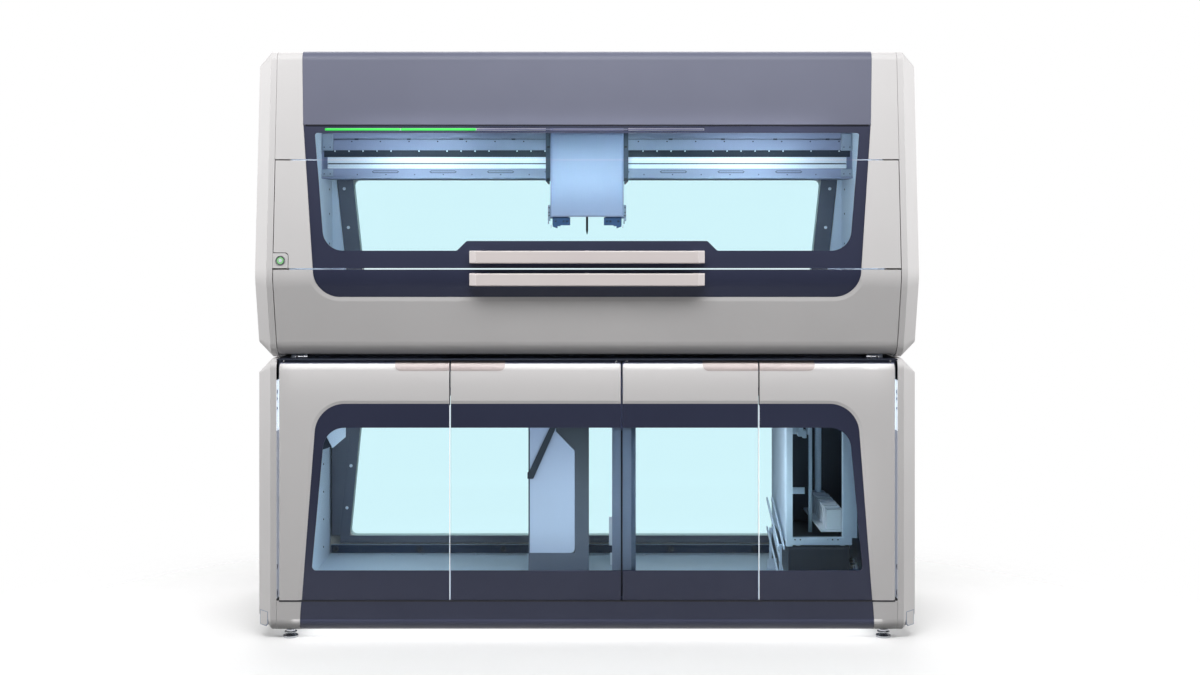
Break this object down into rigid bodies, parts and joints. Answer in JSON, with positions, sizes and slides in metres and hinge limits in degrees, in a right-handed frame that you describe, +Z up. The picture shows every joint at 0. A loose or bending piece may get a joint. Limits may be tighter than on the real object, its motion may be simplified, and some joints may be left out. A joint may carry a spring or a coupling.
{
  "type": "liquid handling robot",
  "caption": "Laboratory pipetting robot: enclosed deck with a sliding arm under a lift-up shield and fold-down flap, on a glazed cabinet with waste and stacker units.",
  "frame": {"origin": "on the floor, under the middle of the box that holds the whole machine, handles included", "axes": "+X to the machine's right as seen from the front, +Y from the front to the back, +Z up"},
  "size_m": [2.132, 0.896, 1.9],
  "materials": {
    "light_grey_paint": "satin, very fine texture",
    "slate_paint": "satin, very fine texture",
    "navy_glaze": "smooth gloss",
    "clear_glass": "clear with a faint cyan tint",
    "handle_beige": "satin",
    "interior_paint": "satin light steel blue",
    "frame_steel": "satin",
    "deck_aluminium": "anodised",
    "rail_steel": "ground",
    "arm_blue": "smooth satin",
    "chrome": "polished",
    "light_segments": "diffusing lens",
    "dark_plastic": "matte",
    "bin_blue": "satin",
    "white_plastic": "satin",
    "probe_black": "satin"
  },
  "bodies": {
    "base": {"leveling_feet": "chrome", "cabinet_frame": "frame_steel", "cabinet_side_covers": "light_grey_paint", "upper_side_covers": "light_grey_paint", "fascia_center": "navy_glaze", "fascia_ends": "light_grey_paint", "floor_pan": "interior_paint", "cabinet_side_walls": "interior_paint", "rear_and_roof_panels": "light_grey_paint", "cabinet_top_plate": "frame_steel", "rear_windows": "clear_glass", "center_post": "interior_paint", "upper_side_frames": "interior_paint", "hinge_pins": "chrome", "header_cover": "slate_paint", "header_ends": "light_grey_paint", "window_strip": "navy_glaze", "window_strip_glass": "clear_glass", "light_bar": "light_segments", "button_plate": "light_grey_paint", "deck_frame": "frame_steel", "deck_plate": "deck_aluminium", "module_feet": "frame_steel", "x_beam": "interior_paint", "x_rails": "rail_steel", "waste_housing": "dark_plastic", "waste_bin": "bin_blue", "waste_bar": "dark_plastic", "stacker_frame": "interior_paint", "stacker_base": "dark_plastic"},
    "front_shield": {"shield_cheeks": "light_grey_paint", "shield_frame": "navy_glaze", "shield_glass": "clear_glass", "shield_handle": "handle_beige"},
    "front_flap": {"flap_panel": "light_grey_paint", "flap_insert": "navy_glaze", "flap_handle": "handle_beige"},
    "door_1": {"door_1_panel": "light_grey_paint", "door_1_border": "navy_glaze", "door_1_glass": "clear_glass", "door_1_grip": "handle_beige"},
    "door_2": {"door_2_panel": "light_grey_paint", "door_2_border": "navy_glaze", "door_2_glass": "clear_glass", "door_2_grip": "handle_beige"},
    "door_3": {"door_3_panel": "light_grey_paint", "door_3_border": "navy_glaze", "door_3_glass": "clear_glass", "door_3_grip": "handle_beige"},
    "door_4": {"door_4_panel": "light_grey_paint", "door_4_border": "navy_glaze", "door_4_glass": "clear_glass", "door_4_grip": "handle_beige"},
    "x_arm": {"x_carriage": "frame_steel", "arm_housing": "frame_steel", "arm_cover": "arm_blue"},
    "channel": {"channel_body": "frame_steel"},
    "probe": {"probe": "probe_black"},
    "power_button": {"power_button": "dark_plastic"},
    "lift": {"lift_carriage": "white_plastic"}
  },
  "joints": [
    {"name": "shield_hinge", "type": "hinge", "parent": "base", "child": "front_shield", "pos_m": [0, -0.36615, 1.523], "axis": [-1, 0, 0], "range_deg": [0, 80]},
    {"name": "flap_hinge", "type": "hinge", "parent": "base", "child": "front_flap", "pos_m": [0, -0.29381, 0.979], "axis": [1, 0, 0], "range_deg": [0, 60]},
    {"name": "door_1_hinge", "type": "hinge", "parent": "base", "child": "door_1", "pos_m": [-0.979, -0.339, 0.5], "axis": [0, 0, -1], "range_deg": [0, 100]},
    {"name": "door_2_hinge", "type": "hinge", "parent": "base", "child": "door_2", "pos_m": [0.095, -0.339, 0.5], "axis": [0, 0, 1], "range_deg": [0, 85]},
    {"name": "door_3_hinge", "type": "hinge", "parent": "base", "child": "door_3", "pos_m": [0.129, -0.339, 0.5], "axis": [0, 0, -1], "range_deg": [0, 85]},
    {"name": "door_4_hinge", "type": "hinge", "parent": "base", "child": "door_4", "pos_m": [0.979, -0.339, 0.5], "axis": [0, 0, 1], "range_deg": [0, 100]},
    {"name": "x_slide", "type": "slide", "parent": "base", "child": "x_arm", "axis": [1, 0, 0], "range_m": [-0.79, 0.79]},
    {"name": "y_slide", "type": "slide", "parent": "x_arm", "child": "channel", "axis": [0, 1, 0], "range_m": [0, 0.24]},
    {"name": "probe_slide", "type": "slide", "parent": "channel", "child": "probe", "axis": [0, 0, 1], "range_m": [-0.25, 0.03]},
    {"name": "power_button_press", "type": "slide", "parent": "base", "child": "power_button", "axis": [0, 0.9943, -0.1063], "range_m": [0, 0.0025], "stiffness_N_per_m": 400},
    {"name": "lift_slide", "type": "slide", "parent": "base", "child": "lift", "axis": [0, 0, 1], "range_m": [0, 0.25]}
  ]
}
